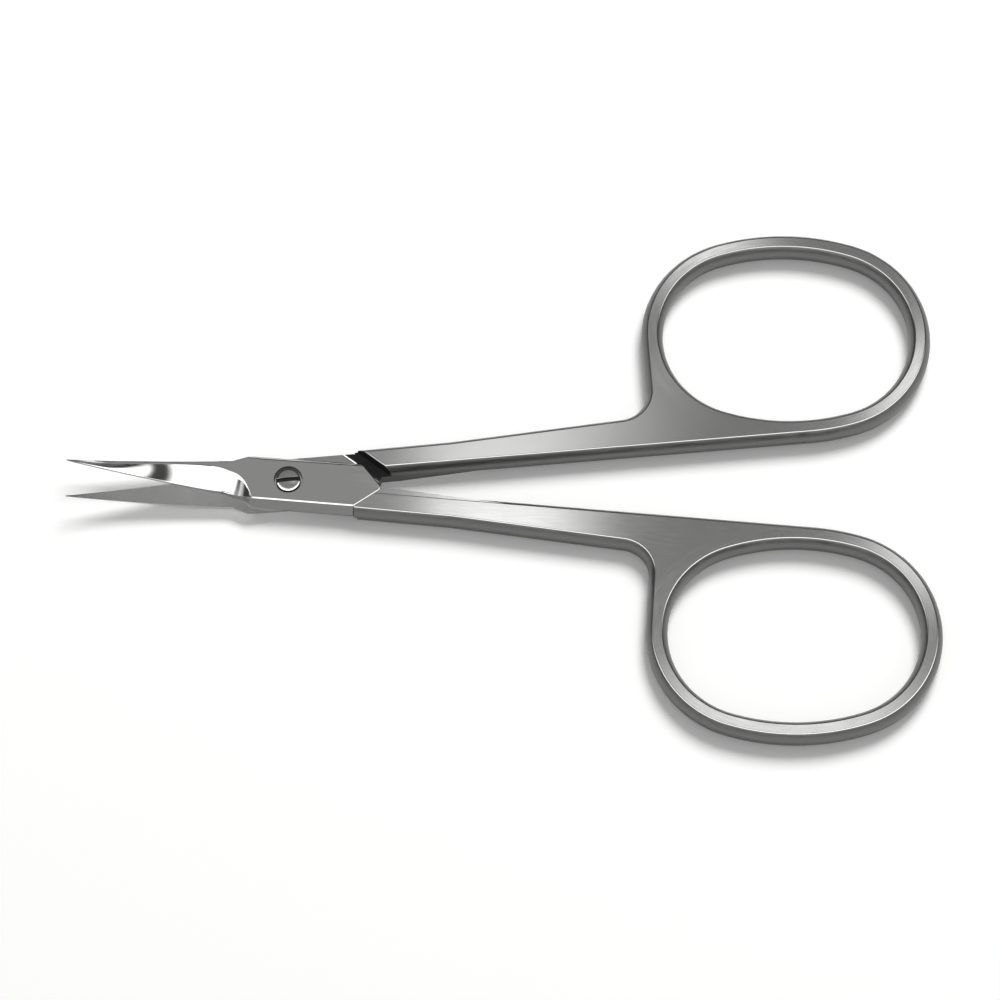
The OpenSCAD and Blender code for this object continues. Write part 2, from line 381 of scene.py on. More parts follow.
@dataclass
class Handle:
    """Shank and finger ring as one bar with swelling sides."""

    forging: Forging
    ring: Ring = field(default_factory=Ring)
    shank: Shank = field(default_factory=Shank)
    shoulder: float = 7.15
    shoulder_turn: float = 48.0
    shoulder_round: float = 0.12
    groove_at: float = 6.02
    groove_wide: float = 0.22
    tool_long: float = 30.0

    def corner_centre(self) -> Point:
        """Centre of the corner arc between the shank and the ring."""
        ring, shank = self.ring, self.shank
        side = polar((0.0, 0.0), 1.0, shank.side_turn)
        out = polar((0.0, 0.0), 1.0, shank.spread_turn + 90.0)
        near = ring.along(-ring.end_off)
        knee = self.knee()
        side_at = side[0] * near[0] + side[1] * near[1] + ring.end_r + ring.band + shank.corner_r
        edge_at = out[0] * knee[0] + out[1] * knee[1] + shank.corner_r
        cross = side[0] * out[1] - side[1] * out[0]
        return (
            (side_at * out[1] - edge_at * side[1]) / cross,
            (edge_at * side[0] - side_at * out[0]) / cross,
        )

    def knee(self) -> Point:
        """Point at which the outer edge of the shank begins to spread."""
        shank = self.shank
        start = shank.gap / 2.0 + shank.wide
        return (shank.spread_x, start + (shank.spread_x - shank.start_x) * shank.rise)

    def outline(self) -> bpy.types.Object:
        """Draw the outer outline at mid thickness."""
        ring, shank = self.ring, self.shank
        side_out = ring.side_r + ring.band
        under = ring.across(ring.side_off)
        inner = (shank.start_x, shank.gap / 2.0)
        to = Vector(inner) - Vector(under)
        turn = (
            math.degrees(math.atan2(to.y, to.x)) + 360.0
            + math.degrees(math.acos(side_out / to.length))
        )
        touch = Vector(polar(under, side_out, turn))
        back = (Vector(inner) - touch).normalized() * shank.cut_off
        knee, corner = self.knee(), self.corner_centre()
        outer_y = shank.gap / 2.0 + shank.wide - shank.cut_off * shank.rise
        join, tilt = ring.join, ring.tilt
        pen = Scriber("handle", (inner[0] + back.x, inner[1] + back.y, 0.0))
        pen.line((touch.x, touch.y, 0.0))
        pen.arc((*under, 0.0), 360.0 - join + tilt - turn, ring.foot_steps)
        pen.arc((*ring.along(ring.end_off), 0.0), 2.0 * join, ring.end_steps)
        pen.arc((*ring.across(-ring.side_off), 0.0), 180.0 - 2.0 * join, ring.side_steps)
        pen.arc(
            (*ring.along(-ring.end_off), 0.0), shank.side_turn - 180.0 + join - tilt,
            ring.end_steps // 2,
        )
        start = polar(corner, shank.corner_r, shank.side_turn - 180.0)
        pen.line((*start, 0.0))
        pen.arc(
            (*corner, 0.0), shank.spread_turn + 90.0 - shank.side_turn, shank.corner_steps
        )
        pen.line((*knee, 0.0))
        pen.line((shank.start_x - shank.cut_off, outer_y, 0.0))
        return pen.close()

    def hole(self, levels: Sequence[Point]) -> bpy.types.Object:
        """Draw the finger hole as a throat, from the face down to mid thickness.

        Args:
            levels: Heights and draw-ins of the side wall.

        Returns:
            The open throat.
        """
        ring = self.ring
        top, wide = levels[-1]
        join, tilt = ring.join, ring.tilt
        pen = Scriber(
            "hole", (*polar(ring.along(ring.end_off), ring.end_r + wide, tilt - join), top)
        )
        for side in (1.0, -1.0):
            pen.arc((*ring.along(side * ring.end_off), 0.0), 2.0 * join, ring.end_steps)
            pen.arc(
                (*ring.across(-side * ring.side_off), 0.0), 180.0 - 2.0 * join, ring.side_steps
            )
        piece = pen.close()
        down = [(height, -draw) for height, draw in reversed(levels)]
        step_in(down)
        bpy.ops.mesh.delete(type="ONLY_FACE")
        return piece

    def build(self) -> bpy.types.Object:
        """Model the handle and cut the room for the plate of the other half."""
        levels = self.forging.wall_levels()
        piece = self.outline()
        step_in(levels)
        bpy.ops.mesh.delete(type="ONLY_FACE")
        throat = self.hole(levels)
        merge_shells(piece, throat)
        top = levels[-1][0]
        shape(piece)
        pick_edges(piece, lambda edge: edge.is_boundary and edge.verts[0].co.z > top - 0.001)
        bpy.ops.mesh.fill(use_beauty=True)
        bpy.ops.object.mode_set(mode="OBJECT")
        apply_modifier(
            piece, "MIRROR", use_axis=(False, False, True), use_mirror_merge=True,
            merge_threshold=0.002,
        )
        shape(piece)
        face_out()
        bpy.ops.mesh.bisect(
            plane_co=(self.shank.start_x, 0.0, 0.0), plane_no=(1.0, 0.0, 0.0),
            use_fill=True, clear_inner=True,
        )
        bpy.ops.object.mode_set(mode="OBJECT")
        combine(piece, self.lap_room(), "DIFFERENCE")
        return piece

    def lap_room(self) -> bpy.types.Object:
        """Model the cutter that clears the room for the other plate, with a rounded lip."""
        low, top, lip = -self.forging.face_gap, self.forging.half_thick, self.shoulder_round
        pen = Scriber("lap_room", (-4.0, low, 0.0))
        for height in (low, top - lip):
            pen.line((self.shoulder, height, 0.0))
        pen.arc((self.shoulder + lip, top - lip, 0.0), -90.0, 6)
        pen.line((self.shoulder + lip, top + 1.0, 0.0))
        pen.line((-4.0, top + 1.0, 0.0))
        return self.stand_up(pen.close())

    def groove(self) -> bpy.types.Object:
        """Model the cutter of the shallow groove at which the ground bed ends."""
        low, half = -self.forging.face_gap, self.groove_wide / 2.0
        pen = Scriber("groove", (self.groove_at - half - 0.1, low + 0.1, 0.0))
        for off, height in (
            (-half, low), (0.0, low - half * 0.5), (half, low), (half + 0.1, low + 0.1)
        ):
            pen.line((self.groove_at + off, height, 0.0))
        return self.stand_up(pen.close())

    def stand_up(self, tool: bpy.types.Object) -> bpy.types.Object:
        """Draw a flat profile out to a bar that runs along the shoulder.

        Args:
            tool: The open profile, its height along Y.

        Returns:
            The cutter in its place.
        """
        draw_up(self.tool_long)
        bpy.ops.transform.translate(value=(0.0, 0.0, -self.tool_long / 2.0))
        tool.rotation_euler = (math.radians(90.0), 0.0, math.radians(self.shoulder_turn))
        put_down(tool)
        return tool


@dataclass
class LapPlate:
    """The flat plate of the lap joint, and the plain wall beside its point."""

    forging: Forging
    back: float = 2.9
    front: float = 2.9
    slope: float = 0.55
    back_slope: float = 0.7
    back_turn: float = 0.7
    slope_from: float = 0.2
    start: float = 4.1
    end: float = 7.4
    point: float = 9.55
    edge_round: float = 0.13
    root_run: float = 14.0

    def build(self, shank: Shank) -> bpy.types.Object:
        """Model the plate, slope its long sides and break its outer edges.

        Args:
            shank: The shank that grows from the plate.

        Returns:
            The plate.
        """
        low = -self.forging.plate_thick
        tall = self.forging.plate_thick - self.forging.face_gap
        pen = Scriber("plate", (-self.start, -self.back + 0.1, low))
        for x, y in (
            (self.end - 0.5, -self.back),
            (self.end, -self.back + 0.5),
            (self.point, -0.1),
            (self.point - 0.1, 0.35),
            (shank.start_x, self.front - self.slope),
            (shank.start_x, self.front),
            (-self.start + 0.6, self.front),
        ):
            pen.line((x, y, low))
        piece = pen.close()
        draw_up(tall)
        self.cut_slope((0.0, self.front), 1.0, self.slope, 0.0)
        self.cut_slope((-self.start, -self.back + 0.1), -1.0, self.back_slope, self.back_turn)

        def outer(edge: bmesh.types.BMEdge) -> bool:
            """Whether an edge lies outside the ride face and away from the blade."""
            ends = [corner.co for corner in edge.verts]
            away = all(co.x < -self.start + 0.7 for co in ends)
            return not away and min(co.z for co in ends) < -self.forging.face_gap - 0.01

        pick_edges(piece, outer)
        bpy.ops.mesh.bevel(offset=self.edge_round, segments=3, profile=0.5)
        bpy.ops.object.mode_set(mode="OBJECT")
        return piece

    def cut_slope(self, at: Point, side: float, wide: float, turn: float) -> None:
        """Slope one long side of the open plate.

        Args:
            at: A point of the side, in plan.
            side: 1 for the handle side, -1 for the side of the blade back.
            wide: Width of the slope in plan.
            turn: Angle of the side to the middle line, in degrees.
        """
        lean = math.atan2(wide, self.forging.plate_thick - self.slope_from)
        out = Matrix.Rotation(math.radians(-turn), 3, "Z") @ Vector(
            (0.0, side * math.cos(lean), -math.sin(lean))
        )
        bpy.ops.mesh.select_all(action="SELECT")
        bpy.ops.mesh.bisect(
            plane_co=(*at, -self.slope_from), plane_no=out, use_fill=True, clear_outer=True
        )

    def root_wall(self, shank: Shank) -> bpy.types.Object:
        """Model the plain inner wall of the shank beside the point of the plate.

        Args:
            shank: The shank whose inner edge the wall follows.

        Returns:
            The wall body, which dies away along the shank.
        """
        low = -self.forging.half_thick + 0.02
        tall = self.forging.half_thick - 0.02 - self.forging.face_gap
        far = self.point + self.root_run
        pen = Scriber("root_wall", (self.end, 0.9, low))
        for x, y in (
            (self.point - 0.3, 0.0),
            (self.point + 0.2, 0.06),
            (self.point + 2.0, shank.gap / 2.0),
            (far, shank.gap / 2.0 + self.forging.crown + 0.1),
            (far, 0.9),
        ):
            pen.line((x, y, low))
        piece = pen.close()
        draw_up(tall)
        bpy.ops.object.mode_set(mode="OBJECT")
        return piece


@dataclass
class Blade:
    """A curved pointed blade, flat on its ride face and ground hollow outside."""

    forging: Forging
    reach: float = 22.8
    rise: float = 1.85
    flat: float = 4.0
    back_slope: float = 0.115
    edge_slope: float = 0.093
    tip_wide: float = 0.1
    tip_thick: float = 0.3
    edge_thick: float = 0.1
    lean: float = 0.3
    land: float = 0.3
    run_out: float = 1.5
    hollow: float = 0.08
    root: float = 4.1
    inside: float = 0.7
    back_flare: float = 0.42
    back_flare_run: float = 1.9
    lean_run: float = 1.6
    edge_flare: float = 0.24
    edge_flare_run: float = 2.7
    heel_flare: float = 0.34
    heel_flare_run: float = 0.3
    lap_back: float = 2.84
    lap_front: float = 2.86
    back_slope_wide: float = 0.7
    lap_slope: float = 0.55
    slope_from: float = 0.2
    slope_out: float = 0.85
    edge_strip: float = 0.07
    back_strip: float = 0.1
    back_drop: float = 0.045
    land_lip: float = 0.14
    land_drop: float = 0.03
    stations: int = 72
    hollow_steps: int = 12

    def climb(self, distance: float) -> float:
        """Rise of the ride face at a distance from the pivot."""
        if distance < self.flat:
            return 0.0
        run = self.reach - self.flat
        radius = (run**2 + self.rise**2) / (2.0 * self.rise)
        return radius - math.sqrt(radius**2 - (distance - self.flat) ** 2)

    def back_y(self, x: float) -> float:
        """Distance of the blade back from the middle line."""
        widen = self.back_flare * max(0.0, self.root + self.back_flare_run - x)
        wide = self.tip_wide / 2.0 + self.back_slope * (self.reach - x) + widen
        return -min(wide, self.lap_back)

    def edge_y(self, x: float) -> float:
        """Distance of the cutting edge from the middle line."""
        flare = self.edge_flare * max(0.0, self.root + self.edge_flare_run - x)
        heel = self.heel_flare * max(0.0, self.root + self.heel_flare_run - x)
        wide = self.tip_wide / 2.0 + self.edge_slope * (self.reach - x) + (flare + heel)
        return min(wide, self.lap_front)

    def lean_at(self, x: float) -> float:
        """Lean of the blade back, more toward the root to meet the slope of the plate."""
        share = max(0.0, min(1.0, (self.root + self.back_flare_run - x) / self.lean_run))
        return self.lean + (self.back_slope_wide / self.forging.plate_thick - self.lean) * share

    def thick(self, x: float) -> float:
        """Thickness of the blade along its back."""
        share = max(0.0, min(1.0, (self.reach - x) / (self.reach - self.root - 2.0)))
        full = self.forging.plate_thick - self.tip_thick
        return self.tip_thick + full * math.sin(math.pi / 2.0 * share) ** 1.2

    def uncut(self, x: float) -> float:
        """Share of the section that the hollow grind leaves, 1 at the root."""
        return 0.5 ** (max(0.0, x - self.root + 0.55) / self.run_out)

    def land_y(self, x: float) -> float:
        """Where the land along the back meets the hollow grind."""
        thick = self.thick(x)
        start = self.back_y(x) + self.lean_at(x) * thick
        width = self.edge_y(x) - start
        land = min(self.land, 0.4 * width)
        return start + land + (self.slope_y(x) - start - land - 0.04) * self.uncut(x)

    def slope_left(self, x: float) -> float:
        """Share of the side slope of the plate that is left, 1 at the root."""
        return 0.5 ** (max(0.0, x - self.root + 0.4) / self.slope_out)

    def slope_y(self, x: float) -> float:
        """Where the hollow grind meets the slope that runs out from the plate."""
        strip = self.edge_strip
        return self.edge_y(x) - strip - (self.lap_slope - strip) * self.slope_left(x)

    def section(self, x: float, turned: float) -> list[Vector]:
        """Closed section of the blade at a distance from the pivot.

        Args:
            x: Distance from the pivot.
            turned: 1 for a blade that curves up from its ride face, -1 for down.

        Returns:
            The corners in order: ride face, cutting edge, hollow, land and back.
        """
        back, edge, thick = self.back_y(x), self.edge_y(x), self.thick(x)
        left, land_end = self.uncut(x), self.land_y(x)
        top = back + self.lean_at(x) * thick
        edge_thick = self.edge_thick + (self.slope_from - self.edge_thick) * self.slope_left(x)
        slope_y = self.slope_y(x)
        slope_thick = edge_thick + 0.02 + (thick - edge_thick - 0.02) * self.slope_left(x)
        gap = self.forging.face_gap
        low = turned * self.climb(math.hypot(x, back))
        high = turned * self.climb(math.hypot(x, edge))
        corners: list[tuple[float, float]] = []
        for share in (0.0, 0.02, 0.25, 0.5, 0.75, 0.97, 1.0):
            y = back + (edge - back) * share
            corners.append((y, turned * self.climb(math.hypot(x, y)) - gap))
        corners.append((edge, high - edge_thick))
        corners.append(((edge + slope_y) / 2.0, high - (edge_thick + slope_thick) / 2.0))
        deep = self.hollow * (1.0 - left)
        for k in range(self.hollow_steps + 1):
            share = k / self.hollow_steps
            base = high + (low - high) * share * 0.5
            rest = slope_thick + (thick - slope_thick) * share
            bow = 4.0 * deep * share * (1.0 - share)
            corners.append((slope_y + (land_end - slope_y) * share, base - rest + bow))
        drop = corners[-1][1] - (low - thick)
        corners[-1] = (land_end, corners[-1][1] + self.land_drop * min(1.0, 2.0 * left))
        lip = min(0.4, self.land_lip / (land_end - top))
        strip = max(0.6, 1.0 - self.back_strip / (land_end - top))
        hold = 0.05 / (land_end - top)
        for share in (lip, min(0.45, lip + hold), 0.5, max(0.55, strip - hold), strip, 1.0):
            corners.append(
                (land_end + (top - land_end) * share, low - thick + drop * (1.0 - share))
            )
        corners[-1] = (top, corners[-1][1] + self.back_drop * (strip > 0.6))
        for share in (0.05, 0.5, 0.95):
            corners.append((top + (back - top) * share, low - thick + (thick - gap) * share))
        return [Vector((-x, y, z)) for y, z in corners]

    def build(self, turned: float) -> bpy.types.Object:
        """Model the blade from a bar that is divided lengthways and drawn to its sections.

        Args:
            turned: 1 for a blade that curves up from its ride face, -1 for down.

        Returns:
            The blade.
        """
        corners = len(self.section(self.reach, turned))
        clear_bench()
        bpy.ops.mesh.primitive_cylinder_add(
            vertices=corners, radius=1.0, depth=float(self.stations), end_fill_type="NGON"
        )
        piece = bpy.context.object
        piece.name = "blade"
        shape(piece)
        pick_edges(piece, lambda edge: abs(edge.verts[0].co.z - edge.verts[1].co.z) > 1.0)
        bpy.ops.mesh.subdivide(number_cuts=self.stations - 1)
        sketch = bmesh.from_edit_mesh(piece.data)
        root = self.root - self.inside
        for corner in sketch.verts:
            turn = math.atan2(corner.co.x, corner.co.y) % (2.0 * math.pi)
            place = round(turn / (2.0 * math.pi) * corners) % corners
            station = round(corner.co.z + self.stations / 2.0)
            share = (station / self.stations) ** 1.5
            corner.co = self.section(root + (self.reach - root) * share, turned)[place]
        bmesh.update_edit_mesh(piece.data)
        face_out()
        bpy.ops.object.mode_set(mode="OBJECT")
        return piece


@dataclass
class PivotScrew:
    """The slotted screw that holds the halves together."""

    forging: Forging
    body_d: float = 1.6
    play: float = 0.03
    head_d: float = 2.5
    rim: float = 0.36
    dome: float = 0.16
    seat_play: float = 0.2
    seat_deep: float = 0.5
    slot_wide: float = 0.42
    slot_deep: float = 0.3
    slot_turn: float = 6.0
    around: int = 96

    @property
    def across(self) -> Vector:
        """Direction square to the slot."""
        turn = math.radians(self.slot_turn)
        return Vector((-math.sin(turn), math.cos(turn), 0.0))

    def turned_body(self, name: str, profile: Sequence[Point]) -> bpy.types.Object:
        """Turn a profile about the pivot axis.

        Args:
            name: Name of the piece.
            profile: Radius and height of each corner, from the axis back to the axis.

        Returns:
            The closed body.
        """
        clear_bench()
        bpy.ops.mesh.primitive_circle_add(vertices=len(profile), radius=1.0, fill_type="NGON")
        piece = bpy.context.object
        piece.name = name
        shape(piece)
        bpy.ops.mesh.select_all(action="SELECT")
        bpy.ops.mesh.delete(type="ONLY_FACE")
        sketch = bmesh.from_edit_mesh(piece.data)
        for corner, (radius, height) in zip(sketch.verts, profile):
            corner.co = Vector((radius, 0.0, height))
        bmesh.update_edit_mesh(piece.data)
        pick_edges(
            piece, lambda edge: max(abs(corner.co.x) for corner in edge.verts) < 0.0005
        )
        bpy.ops.mesh.delete(type="EDGE")
        bpy.ops.mesh.select_all(action="SELECT")
        bpy.ops.mesh.spin(
            steps=self.around, angle=2.0 * math.pi, center=(0.0, 0.0, 0.0), axis=(0.0, 0.0, 1.0)
        )
        bpy.ops.mesh.select_all(action="SELECT")
        bpy.ops.mesh.remove_doubles(threshold=0.0005)
        face_out()
        bpy.ops.object.mode_set(mode="OBJECT")
        return piece

    def bore(self, running: bool) -> bpy.types.Object:
        """Model the tool that cuts the bore, and the seat in the front half.

        Args:
            running: True for the plate that turns on the screw, which also holds its head.

        Returns:
            The cutting body, in the frame of a half lying closed.
        """
        low, high = -self.forging.plate_thick - 1.0, 1.0
        body = self.body_d / 2.0 + (self.play if running else 0.0)
        if not running:
            return self.turned_body("bore", [(0, low), (body, low), (body, high), (0, high)])
        seat = self.head_d / 2.0 + self.seat_play
        floor = -self.forging.plate_thick + self.seat_deep
        lip = -self.forging.plate_thick + 0.05
        return self.turned_body(
            "bore",
            [
                (0, low), (seat + 1.02, low), (seat + 0.02, lip - 0.05), (seat, lip - 0.03),
                (seat, floor), (body, floor), (body, high), (0, high),
            ],
        )

    def build(self) -> bpy.types.Object:
        """Model the screw: a turned body with a domed head, slotted and its edges broken."""
        plate = self.forging.plate_thick
        body, head = self.body_d / 2.0, self.head_d / 2.0
        seat_z = 2.0 * plate - self.seat_deep + 2.0 * self.forging.face_gap
        top = seat_z + self.rim
        # the end is chamfered, and the rim is broken in small steps up to the dome
        profile = [
            (0, 0), (body - 0.08, 0), (body - 0.02, 0.02), (body, 0.08), (body, seat_z),
            (head - 0.04, seat_z), (head, seat_z + 0.04), (head, top - 0.06),
            (head - 0.02, top), (head - 0.06, top + 0.035), (head - 0.14, top + 0.07),
        ]
        for k in range(1, 8):
            share = k / 8.0
            radius = (head - 0.14) * (1.0 - share)
            profile.append((radius, top + 0.07 + (self.dome - 0.07) * (1 - (1 - share) ** 2.2)))
        profile.append((0, top + self.dome))
        piece = self.turned_body("pivot_screw", profile)
        clear_bench()
        bpy.ops.mesh.primitive_cube_add(size=1.0, location=(0.0, 0.0, 0.0))
        tool = bpy.context.object
        tool.scale = (6.0, self.slot_wide, 1.0)
        tool.rotation_euler = (0.0, 0.0, math.radians(self.slot_turn))
        tool.location = (0.0, 0.0, top + self.dome - self.slot_deep + 0.5)
        put_down(tool)
        combine(piece, tool, "DIFFERENCE")
        shape(piece)
        floor = top + self.dome - self.slot_deep
        pick_edges(
            piece,
            lambda edge: all(
                abs(abs(corner.co.dot(self.across)) - self.slot_wide / 2.0) < 0.002
                and corner.co.z > floor + 0.02 for corner in edge.verts
            ),
        )
        bpy.ops.mesh.bevel(offset=0.03, segments=2, profile=0.5, clamp_overlap=True)
        bpy.ops.object.mode_set(mode="OBJECT")
        return piece

    def set_in(self, piece: bpy.types.Object) -> None:
        """Set the finished screw in place, in metres, on the half in which it is fixed.

        Args:
            piece: The screw, in millimetres.
        """
        piece.scale = (MM, MM, MM)
        put_down(piece)
        piece.name = "slotted_pivot_screw"
        piece.data.name = piece.name
        lie = Lie(Turn.UNDER, self.forging, Ring())
        dress(piece, [TurnedSteel().build(), SLOT_PAINTED_SHADE.build(lie)])
        top = 2.0 * self.forging.plate_thick - self.seat_deep + self.rim + self.dome
        for face in piece.data.polygons:
            place = face.center / MM
            inside = abs(place.dot(self.across)) < self.slot_wide / 2.0 + 0.003
            deep = place.z > top - self.slot_deep - 0.02 and abs(face.normal.z) < 0.3
            floor = abs(place.z - top + self.slot_deep) < 0.03 and face.normal.z > 0.9
            side = place.xy.length > self.head_d / 2.0 - 0.03 and abs(face.normal.z) < 0.5
            # the slot and the side of the head get the dark painted shade
            if (inside and (deep or floor)) or side:
                face.material_index = 1
        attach(piece, "rear")
        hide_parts("pivot_screw")


@dataclass
class ScissorHalf:
    """One half of the scissors: blade, lap plate, shank and ring from one forging."""

    node: str
    body: str
    slot: str
    turn: Turn
    forging: Forging
    screw: PivotScrew

    def build(self) -> bpy.types.Object:
        """Model the half lying closed."""
        handle = Handle(self.forging)
        lap = LapPlate(self.forging)
        over = self.turn is Turn.OVER
        piece = handle.build()
        combine(piece, lap.root_wall(handle.shank), "UNION")
        combine(piece, lap.build(handle.shank), "UNION")
        combine(piece, Blade(self.forging).build(-1.0 if over else 1.0), "UNION")
        combine(piece, handle.groove(), "DIFFERENCE")
        combine(piece, self.screw.bore(over), "DIFFERENCE")
        piece.name = self.node + "_forging"
        piece.data.name = piece.name
        return piece

    def lay_down(self, piece: bpy.types.Object) -> None:
        """Turn the finished half into its place at rest, in metres.

        Args:
            piece: The half, lying closed and in millimetres.
        """
        lean = -self.forging.rest_turn if self.turn is Turn.OVER else self.forging.rest_turn
        piece.rotation_euler = Euler((math.radians(self.turn.value), 0.0, math.radians(lean)))
        piece.location = (0.0, 0.0, self.forging.plate_thick * MM)
        piece.scale = (MM, MM, MM)
        put_down(piece)

    def dress(self, piece: bpy.types.Object) -> None:
        """Give the half its finishes, each by the place of the faces.

        Args:
            piece: The half in its place at rest.
        """
        lie = Lie(self.turn, self.forging, Ring())
        dress(piece, [make(lie) for make in FINISHES.values()])
        turned = lie.euler.to_matrix()
        lift = Vector((0.0, 0.0, self.forging.plate_thick * MM))
        for face in piece.data.polygons:
            place = turned @ (face.center - lift) / MM
            face.material_index = list(FINISHES).index(
                self.finish_at(place, turned @ face.normal)
            )

    def finish_at(self, place: Vector, normal: Vector) -> "Finish":
        """Tell the finish of a face.

        Args:
            place: Middle of the face, on the half lying closed, in millimetres.
            normal: Its normal there.

        Returns:
            The finish.
        """
        blade, handle = Blade(self.forging), Handle(self.forging)
        curve = -1.0 if self.turn is Turn.OVER else 1.0
        down = -normal.z if self.turn is Turn.OVER else normal.z
        along = place.xy.dot(Vector(polar((0.0, 0.0), 1.0, handle.shoulder_turn)))
        seat = self.screw.head_d / 2.0 + self.screw.seat_play + 0.012
        start = handle.shank.start_x - 0.01
        steep = abs(normal.z)
        level, wall = 0.998, 0.84
        # the seat of the screw head in the front half: near black painted shade
        if place.xy.length < seat and self.turn is Turn.OVER and normal.z > -0.9:
            return Finish.SCALE
        if -place.x < blade.root - 0.35:
            # lower rims of the handle: near black painted shade, a dark line under the edges
            if -0.93 < down < -0.3 and place.x > start:
                return Finish.SCALE
            bed = abs(place.z + self.forging.face_gap) < 0.004 and normal.z > 0.9
            if bed and along < handle.groove_at:
                return Finish.GROUND
            # the bed past the groove and the shoulder wall: near black painted shade in the recess
            if bed and along < handle.shoulder:
                return Finish.SCALE
            if abs(along - handle.shoulder) < 0.01 and steep < 0.3 and place.z > 0.0:
                return Finish.SCALE
            # steep walls: dark painted shade for the dark surroundings they mirror
            if place.x > start and steep < wall:
                return Finish.PAINTED_WALL_SHADE
            if steep < level and (place.x > start or steep > 0.6):
                return Finish.BURNISHED
            # slopes of the plate: darker painted shade
            return Finish.SLOPE if steep < level else Finish.SATIN
        ride = curve * blade.climb(place.xy.length) - self.forging.face_gap
        if abs(place.z - ride) < 0.02 and normal.z > 0.9:
            return Finish.GROUND
        # strips along the cutting edge and the land: darker painted shade
        if place.y > blade.slope_y(-place.x) and normal.z < 0.3:
            return Finish.PAINTED_WALL_SHADE if -place.x > blade.root + 2.5 else Finish.SLOPE
        if place.y > blade.land_y(-place.x) - 0.012 and normal.z < 0.3:
            return Finish.SLOPE if normal.z > -0.6 else Finish.BUFFED
        return Finish.SATIN

    def attach(self, piece: bpy.types.Object) -> None:
        """Let the piece ride with its body and stand for its node."""
        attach(piece, self.body)
        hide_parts(self.node)


# ---------------------------------------------------------------- finishes


def linear(code: str) -> tuple[float, float, float, float]:
    """Turn an sRGB hex colour into linear RGBA."""
    values = [int(code[k : k + 2], 16) / 255.0 for k in (1, 3, 5)]
    turned = [v / 12.92 if v <= 0.04045 else ((v + 0.055) / 1.055) ** 2.4 for v in values]
    return (turned[0], turned[1], turned[2], 1.0)


def add_node(
    tree: bpy.types.NodeTree, kind: str, settings: dict | None = None, links: dict | None = None
) -> bpy.types.Node:
    """Add one node.

    Args:
        tree: The material's node tree.
        kind: Node type.
        settings: Attributes of the node, or values of its inputs by name or number.
        links: Output sockets by the input that they feed.

    Returns:
        The new node.
    """
    made = tree.nodes.new(kind)
    for key, value in (settings or {}).items():
        if isinstance(key, str) and key.islower():
            setattr(made, key, value)
    for key, value in (settings or {}).items():
        if not (isinstance(key, str) and key.islower()):
            made.inputs[key].default_value = value
    for key, source in (links or {}).items():
        tree.links.new(source, made.inputs[key])
    return made


def new_material(name: str) -> tuple[bpy.types.Material, bpy.types.NodeTree]:
    """Make an empty node-based material."""
    material = bpy.data.materials.new(name)
    material.use_nodes = True
    material.node_tree.nodes.clear()
    return material, material.node_tree


@dataclass(frozen=True)
class Lie:
    """How a half lies at rest, so that patterns follow the half and not the table."""

    turn: Turn
    forging: Forging
    ring: Ring

    @property
    def euler(self) -> Euler:
        """Rotation from the object's axes to those of the half lying closed."""
        lean = math.radians(self.forging.rest_turn)
        return Euler((math.radians(self.turn.value), 0.0, -lean))

    @property
    def back(self) -> Euler:
        """Rotation from the half lying closed to the object's axes."""
        return self.euler.to_matrix().inverted().to_euler()

    def half_place(self, tree: bpy.types.NodeTree) -> bpy.types.Node:
        """Node that gives the place in the frame of the half lying closed, in millimetres."""
        spot = add_node(tree, "ShaderNodeTexCoord")
        moved = self.euler.to_matrix() @ Vector((0.0, 0.0, -self.forging.plate_thick))
        return add_node(
            tree, "ShaderNodeMapping",
            {"Scale": (1.0 / MM, 1.0 / MM, 1.0 / MM), "Rotation": self.euler, "Location": moved},
            {"Vector": spot.outputs["Object"]},
        )


@dataclass(frozen=True)
class Steel:
    """Stainless steel with fine marks, which give it roughness, tone and bump."""

    name: str
    colour: str
    pale: str
    roughness: float
    anisotropy: float
    mark_apart: float
    mark_deep: float
    smooth_share: float = 0.8
    rough_share: float = 1.3

    def finish(
        self, tree: bpy.types.NodeTree, marks: bpy.types.NodeSocket,
        under: dict | None = None, brush: dict | None = None,
    ) -> None:
        """Close the material with a skin that follows its marks.

        Args:
            tree: The material's node tree.
            marks: Socket of the marks, from 0 to 1.
            under: The normal that the marks are laid on, if it isn't the mesh's own.
            brush: The tangent square to which lights draw out, if it is brushed.
        """
        rough = add_node(
            tree, "ShaderNodeMapRange",
            {"From Min": 0.3, "From Max": 0.7, "To Min": self.roughness * self.smooth_share,
             "To Max": self.roughness * self.rough_share},
            {"Value": marks},
        )
        tint = add_node(
            tree, "ShaderNodeMix",
            {"data_type": "RGBA", 6: linear(self.colour), 7: linear(self.pale)}, {0: marks},
        )
        scratch = add_node(
            tree, "ShaderNodeBump", {"Strength": 1.0, "Distance": self.mark_deep * MM},
            {"Height": marks, **(under or {})},
        )
        steel = add_node(
            tree, "ShaderNodeBsdfPrincipled",
            {"Metallic": 1.0, "Anisotropic": self.anisotropy},
            {"Base Color": tint.outputs[2], "Roughness": rough.outputs[0],
             "Normal": scratch.outputs[0], **(brush or {})},
        )
        add_node(tree, "ShaderNodeOutputMaterial", None, {"Surface": steel.outputs[0]})


